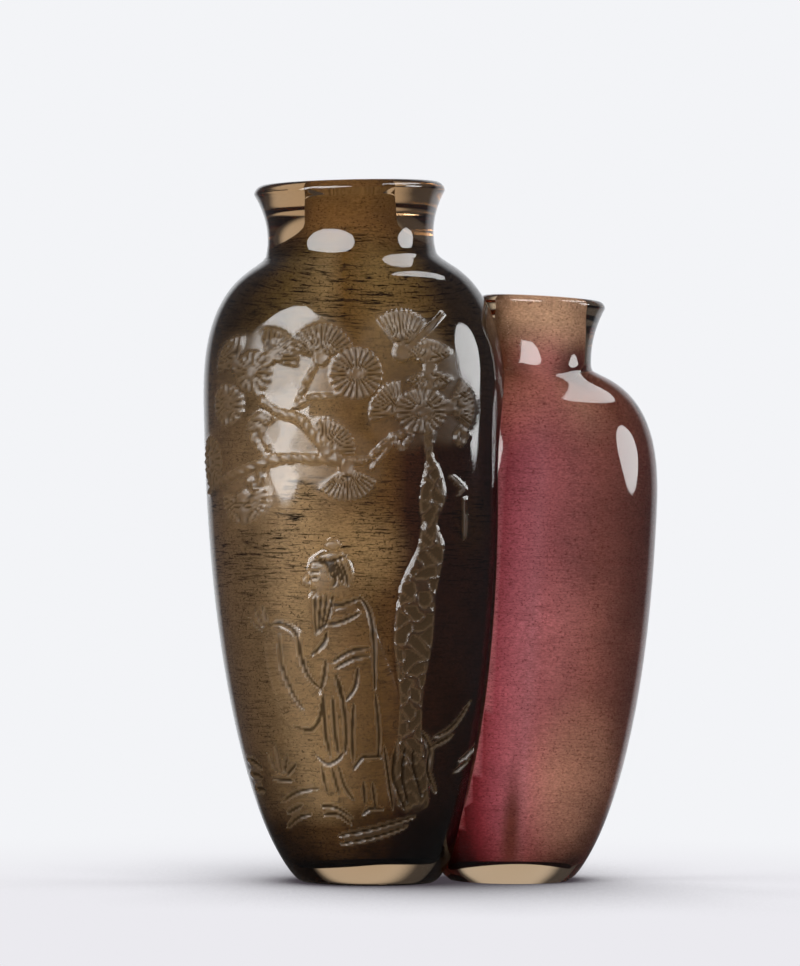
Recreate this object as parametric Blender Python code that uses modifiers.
"""Twin snuff bottle: a tall carved vase and a small plain one, hollowed from a single crystal.

Metres, +Z up. The carved side faces -Y, the tall vase stands at -X and the small one at +X,
both feet are flat on z = 0, and the origin is under the middle of the whole.
"""

import math

import bpy
import numpy as np
from mathutils import Vector

# Tall vase, heights measured up its own axis
TALL_HEIGHT = 0.0696
TALL_BELLY_HEIGHT = 0.046
TALL_SHOULDER_RISE = 0.0172
TALL_BELLY_HALF_WIDTH = 0.0151
TALL_BELLY_HALF_DEPTH = 0.0108
TALL_FOOT_HALF_WIDTH = 0.0066
TALL_FOOT_HALF_DEPTH = 0.0052
TALL_NECK_HALF_WIDTH = 0.0083
TALL_NECK_HALF_DEPTH = 0.0079
TALL_LIP_HALF_WIDTH = 0.0095
TALL_LIP_HALF_DEPTH = 0.0091
TALL_LIP_ROUND = 0.0009
TALL_BORE_RADIUS = 0.0031
TALL_BASE = 0.0030
TALL_LEAN_DEG = -2.4

# Small vase
SMALL_HEIGHT = 0.0587
SMALL_BELLY_HEIGHT = 0.036
SMALL_SHOULDER_RISE = 0.016
SMALL_BELLY_HALF_WIDTH = 0.01295
SMALL_BELLY_HALF_DEPTH = 0.0081
SMALL_FOOT_HALF_WIDTH = 0.0060
SMALL_FOOT_HALF_DEPTH = 0.0050
SMALL_NECK_HALF_WIDTH = 0.0053
SMALL_NECK_HALF_DEPTH = 0.0051
SMALL_LIP_HALF_WIDTH = 0.0064
SMALL_LIP_HALF_DEPTH = 0.0061
SMALL_LIP_ROUND = 0.0007
SMALL_BORE_RADIUS = 0.0031
SMALL_BASE = 0.0024
SMALL_LEAN_DEG = 2.5
SMALL_SET_BACK = 0.0007

# How the two stand and what is left between them
FOOT_SPACING = 0.01485
WALL = 0.0023
PARTITION = 0.0016
RELIEF = 0.0006

# The hollows slope up into the necks: how much wider than the bore at the foot of the slope, and its rise
TALL_SLOPE = 0.0044
SLOPE_RISE = 0.0050

# Character of the outlines, as exponents and shares
LOWER_POWER = 2.3
LOWER_SHAPE = 0.67
SHOULDER_POWER = 3.0
SHOULDER_SHAPE = 0.335
SQUARENESS = 0.4
INNER_CORNER = 0.0012
WAIST_RISE = 0.0012
SLOPE_POWER = 1.5
LEVEL_FOOT = 0.008

# Fineness of the faceted solid. The carved body is turned fine, then simplified to its faces,
# which gathers them where the relief is.
TALL_COLUMNS = 132
TALL_FACES = 5600
SMALL_COLUMNS = 28
HOLLOW_COLUMNS = 20
CARVED_ROW = 0.0005
PLAIN_ROW = 0.0026
FOOT_ROW = 0.0011
SHOULDER_ROW = 0.0010
FOOT_SHARE = 0.1
SHOULDER_SHARE = 0.6
CROWDING = 0.35
CARVED_MIDDLE_DEG = -20.0
MERGE = 0.00001
FLAT_REACH = 0.00004

# The carving is drawn on a sheet wrapped round the tall vase. A place on it is how far across
# from the front middle line and how far up the axis, in hundredths of the tall vase's height.
SHEET = TALL_HEIGHT / 100

# Needle clusters of the pine: across, up, radius, the way the fan opens and its half spread in degrees
NEEDLES = [
    (-21.0, 74.7, 4.2, 140, 65), (-15.7, 75.4, 4.0, 45, 75), (-17.7, 73.6, 3.0, 0, 180),
    (-8.0, 76.0, 4.0, 90, 95), (-22.7, 68.9, 3.2, 0, 180), (-3.2, 73.0, 3.4, 0, 180),
    (-8.1, 62.3, 3.9, 50, 60), (-28.2, 60.7, 3.8, 0, 180), (-20.5, 56.0, 4.0, 275, 100),
    (-5.1, 59.4, 4.3, 270, 62), (3.4, 74.8, 6.2, 84, 36), (6.8, 73.5, 3.3, 0, 180),
    (2.4, 67.9, 3.8, 145, 50), (6.0, 67.2, 3.3, 0, 180), (10.1, 67.6, 3.7, 0, 55),
    (-17.0, 65.1, 2.3, 100, 70),
]
# Trunk and branches: half thickness at both ends, then the route
BRANCHES = [
    (1.3, 2.4, [(7.2, 65), (7.4, 57), (6.8, 50), (6.2, 44), (4.6, 37), (4.1, 27), (4.3, 19), (5.2, 11.5)]),
    (0.7, 1.1, [(-27, 57.4), (-20.1, 59.5), (-14.8, 61), (-10.2, 60.8), (-2.5, 60.4), (1, 63),
                (6.5, 64.4)]),
    (0.7, 0.9, [(-18.4, 71), (-14.9, 67.7), (-11.7, 66.4), (-8.1, 62.6), (-5.3, 60.3)]),
    (0.6, 0.6, [(-8.2, 75.9), (-10.4, 71.7), (-12.3, 67)]),
    (0.6, 0.6, [(-12, 68), (-9, 69.5), (-3.9, 70.3)]),
    (0.7, 0.6, [(3.3, 75.4), (11, 81)]),
]
# Ground, rocks and roots under the figure and the tree
GROUND = [
    (0.7, 0.5, [(-21, 12.5), (-16.5, 14), (-12.2, 14.5)]),
    (0.7, 0.5, [(-21.5, 8.6), (-14.6, 10.8), (-10, 11.3), (-6.2, 10.1)]),
    (0.8, 0.6, [(-9.7, 7.4), (-2.9, 8.2), (6.7, 9.9)]),
    (1.2, 0.9, [(3.6, 18), (1.6, 14.5), (2.2, 11)]),
    (1.2, 0.9, [(5.2, 18), (7.6, 15), (9.6, 12.6)]),
    (0.6, 0.5, [(8.3, 20.3), (12.8, 21.6)]),
    (0.6, 0.5, [(11.5, 23.9), (15.6, 25.6)]),
    (0.7, 0.3, [(-19.4, 16.4), (-19.6, 20.4)]),
]
# Robed figure: head, topknot, beard, hand and hanging sleeve
FIGURE = [
    (3.2, 2.7, [(-7.9, 45.4), (-7.2, 44.4)]),
    (0.9, 0.9, [(-8.0, 48.7), (-6.8, 48.6)]),
    (1.3, 0.5, [(-10.4, 43), (-10.5, 35.5)]),
    (0.6, 0.6, [(-18.8, 40.2), (-17.6, 37.2)]),
    (1.7, 2.5, [(-15.8, 36.4), (-16.0, 32), (-14.5, 26)]),
    (0.7, 1.0, [(-2.4, 39), (0.2, 33), (2.3, 26.5)]),
]
# Robe: the heights of its hem and shoulders with its front and back edges there
ROBE_UP = [12.0, 19.0, 29.0, 35.0, 38.5, 40.5]
ROBE_FRONT = [-10.2, -11.6, -11.0, -10.6, -9.6, -6.4]
ROBE_BACK = [1.6, -0.2, -1.4, -1.9, -3.2, -5.8]
ROBE_FOLDS = 4
ROBE_SOFT_EDGE = 1.2
FOLD_DEPTH = 0.35
BARK_PITCH = 3.4
BARK_DEPTH = 0.3


class Vase:
    """One turned and flattened form, outer or inner, with its sizes in width and in depth."""

    def __init__(self, x, y, lean_deg, height, bottom, belly_height, shoulder_top, waist, lip_round,
                 foot, belly, neck, lip, slope=0.0):
        self.x = x
        self.y = y
        self.lean = math.radians(lean_deg)
        self.height = height
        self.bottom = bottom
        self.belly_height = belly_height
        self.shoulder_top = shoulder_top
        self.waist = waist
        self.lip_round = lip_round
        self.foot = foot
        self.belly = belly
        self.neck = neck
        self.lip = lip
        self.slope = slope

    def hollow(self, wall, base, bore, slope=0.0):
        """The space inside: walls and base inset, sloping up to a straight bore through the neck."""
        return Vase(
            self.x, self.y, math.degrees(self.lean), self.height + wall, base, self.belly_height,
            self.shoulder_top - wall, self.shoulder_top, 0.0,
            tuple(size - wall / 2 for size in self.foot), tuple(size - wall for size in self.belly),
            (bore, bore), (bore, bore), slope)

    def grown(self, margin):
        """The same hollow made larger all round, to keep another one away from it."""
        return Vase(
            self.x, self.y, math.degrees(self.lean), self.height, self.bottom - margin, self.belly_height,
            self.shoulder_top + margin, self.waist + margin, 0.0,
            tuple(size + margin for size in self.foot), tuple(size + margin for size in self.belly),
            tuple(size + margin for size in self.neck), tuple(size + margin for size in self.lip), self.slope)

    def half_size(self, up, axis):
        """Half the width (axis 0) or half the depth (axis 1) at a height up the vase's axis."""
        foot, belly, neck, lip = self.foot[axis], self.belly[axis], self.neck[axis], self.lip[axis]
        rise = np.clip((up - self.bottom) / (self.belly_height - self.bottom), 0, 1)
        lower = foot + (belly - foot) * (1 - (1 - rise) ** LOWER_POWER) ** LOWER_SHAPE
        rise = np.clip((up - self.belly_height) / (self.shoulder_top - self.belly_height), 0, 1)
        shoulder = belly * (1 - rise ** SHOULDER_POWER) ** SHOULDER_SHAPE
        slope = self.slope * np.clip(1 - (up - self.shoulder_top) / SLOPE_RISE, 0, 1) ** SLOPE_POWER
        rise = (up - self.waist) / (self.height - self.lip_round - self.waist)
        flare = neck + slope + (lip - neck) * np.clip(rise, -1, 1) ** 2
        upper = smooth_max(shoulder, flare, INNER_CORNER)
        if self.lip_round:
            edge = np.clip((up - self.height + self.lip_round) / self.lip_round, 0, 1)
            upper = upper - self.lip_round * (1 - np.sqrt(1 - edge ** 2))
        return np.where(up < self.belly_height, lower, upper)

    def section_power(self, up):
        """2 is an ellipse, and the full belly is a little squarer than one."""
        spare = max(self.belly[0] - self.neck[0], 0.001)
        fullness = np.clip((self.half_size(up, 0) - self.neck[0]) / spare, 0, 1)
        return 2 + SQUARENESS * fullness

    def surface(self, angle, up, share, raised=0.0):
        """Points of the standing vase. Angle is from the front round to +X."""
        wide = self.half_size(up, 0)
        deep = self.half_size(up, 1)
        power = self.section_power(up)
        reach = (np.abs(np.sin(angle) / wide) ** power + np.abs(np.cos(angle) / deep) ** power) ** (-1 / power)
        x = reach * np.sin(angle)
        y = -reach * np.cos(angle)
        out_x = np.sign(x) * np.abs(x / wide) ** (power - 1) / wide
        out_y = np.sign(y) * np.abs(y / deep) ** (power - 1) / deep
        length = np.hypot(out_x, out_y)
        x = share * x + raised * out_x / length
        y = share * y + raised * out_y / length
        level = np.clip(up / LEVEL_FOOT, 0, 1)
        tilt = self.lean * level * level * (3 - 2 * level)
        world_x = self.x + x * np.cos(tilt) + up * math.sin(self.lean)
        world_z = up * math.cos(self.lean) - x * np.sin(tilt)
        return np.stack([world_x, self.y + y, world_z], axis=1)


def smooth_max(a, b, width):
    """The larger of two curves, with their meeting corner rounded over a width."""
    near = np.maximum(width - np.abs(a - b), 0) / width
    return np.maximum(a, b) + near * near * width / 4


def tall_vase():
    return Vase(
        -FOOT_SPACING / 2, 0.0, TALL_LEAN_DEG, TALL_HEIGHT, 0.0, TALL_BELLY_HEIGHT,
        TALL_BELLY_HEIGHT + TALL_SHOULDER_RISE, TALL_BELLY_HEIGHT + TALL_SHOULDER_RISE + WAIST_RISE,
        TALL_LIP_ROUND,
        (TALL_FOOT_HALF_WIDTH, TALL_FOOT_HALF_DEPTH), (TALL_BELLY_HALF_WIDTH, TALL_BELLY_HALF_DEPTH),
        (TALL_NECK_HALF_WIDTH, TALL_NECK_HALF_DEPTH), (TALL_LIP_HALF_WIDTH, TALL_LIP_HALF_DEPTH))


def small_vase():
    return Vase(
        FOOT_SPACING / 2, SMALL_SET_BACK, SMALL_LEAN_DEG, SMALL_HEIGHT, 0.0, SMALL_BELLY_HEIGHT,
        SMALL_BELLY_HEIGHT + SMALL_SHOULDER_RISE, SMALL_BELLY_HEIGHT + SMALL_SHOULDER_RISE + WAIST_RISE,
        SMALL_LIP_ROUND,
        (SMALL_FOOT_HALF_WIDTH, SMALL_FOOT_HALF_DEPTH), (SMALL_BELLY_HALF_WIDTH, SMALL_BELLY_HALF_DEPTH),
        (SMALL_NECK_HALF_WIDTH, SMALL_NECK_HALF_DEPTH), (SMALL_LIP_HALF_WIDTH, SMALL_LIP_HALF_DEPTH))


def sheet_across(vase, angle):
    """Distance round the belly from the front middle line, in sheet units."""
    steps = np.linspace(-math.pi, math.pi, 721)
    ring = vase.surface(steps, np.full_like(steps, vase.belly_height), 1.0)
    walked = np.concatenate([[0], np.cumsum(np.linalg.norm(np.diff(ring, axis=0), axis=1))])
    walked = walked - np.interp(0, steps, walked)
    return np.interp(angle, steps, walked) / SHEET


def ridge(across, up, start, end, route):
    """A rounded ridge along a route, 1 on its crest and 0 at its sides."""
    steepness = 1.5
    crest = np.zeros_like(across)
    pieces = len(route) - 1
    for index in range(pieces):
        (x0, z0), (x1, z1) = route[index], route[index + 1]
        along = ((across - x0) * (x1 - x0) + (up - z0) * (z1 - z0)) / ((x1 - x0) ** 2 + (z1 - z0) ** 2)
        along = np.clip(along, 0, 1)
        thick = start + (end - start) * (index + along) / pieces
        away = np.hypot(across - x0 - along * (x1 - x0), up - z0 - along * (z1 - z0)) / thick
        crest = np.maximum(crest, np.clip(steepness * (1 - away ** 2), 0, 1))
    return crest


def needle_cluster(across, up, middle_across, middle_up, radius, opens, spread):
    """A shallow dome cut to a fan: pine needles seen as one tuft."""
    away = np.hypot(across - middle_across, up - middle_up) / radius
    turn = np.degrees(np.arctan2(up - middle_up, across - middle_across)) - opens
    turn = np.abs((turn + 180) % 360 - 180)
    inside = np.where(away < 0.25, 1.0, np.clip((spread + 8 - turn) / 16, 0, 1))
    return 0.8 * inside * np.clip((1 - away ** 2) * 2.5, 0, 1)


def robe(across, up):
    """The long robe between its front and back edges, with folds that run down it."""
    front = np.interp(up, ROBE_UP, ROBE_FRONT)
    back = np.interp(up, ROBE_UP, ROBE_BACK)
    inside = np.minimum(across - front, back - across)
    inside = np.minimum(inside, np.minimum(up - ROBE_UP[0], ROBE_UP[-1] - up))
    body = np.clip(inside / ROBE_SOFT_EDGE, 0, 1)
    folds = 0.5 - 0.5 * np.cos(2 * math.pi * ROBE_FOLDS * (across - front) / (back - front))
    return body * (1 - FOLD_DEPTH * folds)


def carving(across, up):
    """Height of the relief over the plain vase, as a share of its full depth."""
    height = np.zeros_like(across)
    bark = 1 - BARK_DEPTH * (0.5 + 0.5 * np.cos(2 * math.pi * up / BARK_PITCH))
    for start, end, route in BRANCHES:
        height = np.maximum(height, bark * ridge(across, up, start, end, route))
    for start, end, route in GROUND + FIGURE:
        height = np.maximum(height, ridge(across, up, start, end, route))
    for cluster in NEEDLES:
        height = np.maximum(height, needle_cluster(across, up, *cluster))
    return np.maximum(height, robe(across, up))


def spaced(low, high, step):
    """Even heights from low to just under high, no further apart than a step."""
    count = max(1, math.ceil((high - low) / step))
    return [low + (high - low) * index / count for index in range(count)]


def ring_heights(vase, row):
    """Heights of the rings: close at the foot, shoulder and lip, and a row apart between."""
    curl = vase.bottom + FOOT_SHARE * (vase.belly_height - vase.bottom)
    round_off = vase.belly_height + SHOULDER_SHARE * (vase.shoulder_top - vase.belly_height)
    lip_edge = vase.height - vase.lip_round
    heights = spaced(vase.bottom, curl, FOOT_ROW)
    heights += spaced(curl, round_off, row)
    heights += spaced(round_off, vase.waist, SHOULDER_ROW)
    heights += spaced(vase.waist, lip_edge, PLAIN_ROW)
    if vase.lip_round:
        heights += [lip_edge, lip_edge + 0.6 * vase.lip_round, lip_edge + 0.9 * vase.lip_round]
    return heights + [vase.height]


def turned(name, vase, row, columns, collection):
    """Turn the vase's width profile with a screw, then keep the result as a plain mesh."""
    heights = ring_heights(vase, row)[::-1]
    widths = vase.half_size(np.array(heights), 0)
    points = [(0, 0, heights[0])] + [(w, 0, h) for w, h in zip(widths.tolist(), heights)]
    points.append((0, 0, heights[-1]))
    profile = bpy.data.meshes.new(name + "_profile")
    profile.from_pydata(points, [(i, i + 1) for i in range(len(points) - 1)], [])
    guide = bpy.data.objects.new(name + "_profile", profile)
    collection.objects.link(guide)
    screw = guide.modifiers.new("Turn", "SCREW")
    screw.steps = columns
    screw.render_steps = columns
    screw.use_merge_vertices = True
    screw.merge_threshold = MERGE
    screw.use_smooth_shade = True
    evaluated = guide.evaluated_get(bpy.context.evaluated_depsgraph_get())
    mesh = bpy.data.meshes.new_from_object(evaluated)
    mesh.name = name
    bpy.data.objects.remove(guide)
    bpy.data.meshes.remove(profile)
    thing = bpy.data.objects.new(name, mesh)
    collection.objects.link(thing)
    return thing


def press(thing, vase, crowding=0.0, carved=False):
    """Flatten the turned form to the vase's sections, lean it, and raise the carving on it."""
    mesh = thing.data
    flat = np.empty(3 * len(mesh.vertices), dtype=np.float32)
    mesh.vertices.foreach_get("co", flat)
    x, y, up = flat.astype(np.float64).reshape(-1, 3).T
    share = np.hypot(x, y) / vase.half_size(up, 0)
    middle = math.radians(CARVED_MIDDLE_DEG)
    angle = (np.arctan2(x, -y) - middle + math.pi) % (2 * math.pi) - math.pi
    angle = angle - crowding * np.sin(angle) + middle
    angle = (angle + math.pi) % (2 * math.pi) - math.pi
    raised = np.zeros_like(up)
    if carved:
        raised = RELIEF * carving(sheet_across(vase, angle), up / SHEET)
    mesh.vertices.foreach_set("co", vase.surface(angle, up, share, raised).astype(np.float32).ravel())
    mesh.update()


def simplify(thing, vase, faces):
    """Keep a number of faces, gathered where the shape turns, and true up the foot and the lip."""
    decimate = thing.modifiers.new("Simplify", "DECIMATE")
    decimate.ratio = faces / sum(len(face.vertices) - 2 for face in thing.data.polygons)
    evaluated = thing.evaluated_get(bpy.context.evaluated_depsgraph_get())
    fine = thing.data
    thing.data = bpy.data.meshes.new_from_object(evaluated)
    thing.modifiers.clear()
    bpy.data.meshes.remove(fine)
    axis = Vector((math.sin(vase.lean), 0, math.cos(vase.lean)))
    lip_middle = Vector((vase.x, vase.y, 0)) + axis * vase.height
    for vertex in thing.data.vertices:
        if vertex.co.z < FLAT_REACH:
            vertex.co.z = 0
        over = (vertex.co - lip_middle).dot(axis)
        if over > -FLAT_REACH:
            vertex.co -= axis * over


def boolean(thing, other, operation):
    cut = thing.modifiers.new(other.name, "BOOLEAN")
    cut.object = other
    cut.operation = operation
    cut.solver = "EXACT"


def hide_guide(thing):
    thing.hide_render = True
    thing.display_type = "WIRE"


def crystal(name, colour):
    material = bpy.data.materials.new(name)
    material.use_nodes = True
    shader = material.node_tree.nodes["Principled BSDF"]
    shader.inputs["Base Color"].default_value = (*colour, 1)
    shader.inputs["Roughness"].default_value = 0.08
    shader.inputs["IOR"].default_value = 1.54
    shader.inputs["Transmission Weight"].default_value = 0.6
    material.diffuse_color = (*colour, 1)
    return material


def centre_on_origin(things):
    """Slide everything so that the origin lies under the middle of the whole."""
    corners = np.array([tuple(vertex.co) for thing in things for vertex in thing.data.vertices])
    middle = (corners.min(axis=0) + corners.max(axis=0)) / 2
    for thing in bpy.data.objects:
        for vertex in thing.data.vertices:
            vertex.co.x -= middle[0]
            vertex.co.y -= middle[1]


def build():
    for old in list(bpy.data.objects):
        bpy.data.objects.remove(old)
    parts = bpy.data.collections.new("double_snuff_bottle")
    guides = bpy.data.collections.new("cutters")
    for collection in (parts, guides):
        bpy.context.scene.collection.children.link(collection)

    tall = tall_vase()
    small = small_vase()
    tall_hollow = tall.hollow(WALL, TALL_BASE, TALL_BORE_RADIUS, TALL_SLOPE)
    small_hollow = small.hollow(WALL, SMALL_BASE, SMALL_BORE_RADIUS)
    keep_out = tall_hollow.grown(PARTITION)

    bottle = turned("double_bottle", tall, CARVED_ROW, TALL_COLUMNS, parts)
    press(bottle, tall, CROWDING, carved=True)
    simplify(bottle, tall, TALL_FACES)
    small_body = turned("small_body", small, PLAIN_ROW, SMALL_COLUMNS, guides)
    press(small_body, small)
    cutters = {}
    for name, hollow in (("tall_hollow", tall_hollow), ("small_hollow", small_hollow), ("keep_out", keep_out)):
        cutters[name] = turned(name, hollow, PLAIN_ROW, HOLLOW_COLUMNS, guides)
        press(cutters[name], hollow)
    centre_on_origin([bottle, small_body])
    for guide in guides.objects:
        hide_guide(guide)

    boolean(bottle, small_body, "UNION")
    boolean(bottle, cutters["tall_hollow"], "DIFFERENCE")
    boolean(cutters["small_hollow"], cutters["keep_out"], "DIFFERENCE")
    boolean(bottle, cutters["small_hollow"], "DIFFERENCE")
    bottle.data.materials.append(crystal("smoky_crystal", (0.36, 0.25, 0.15)))


build()
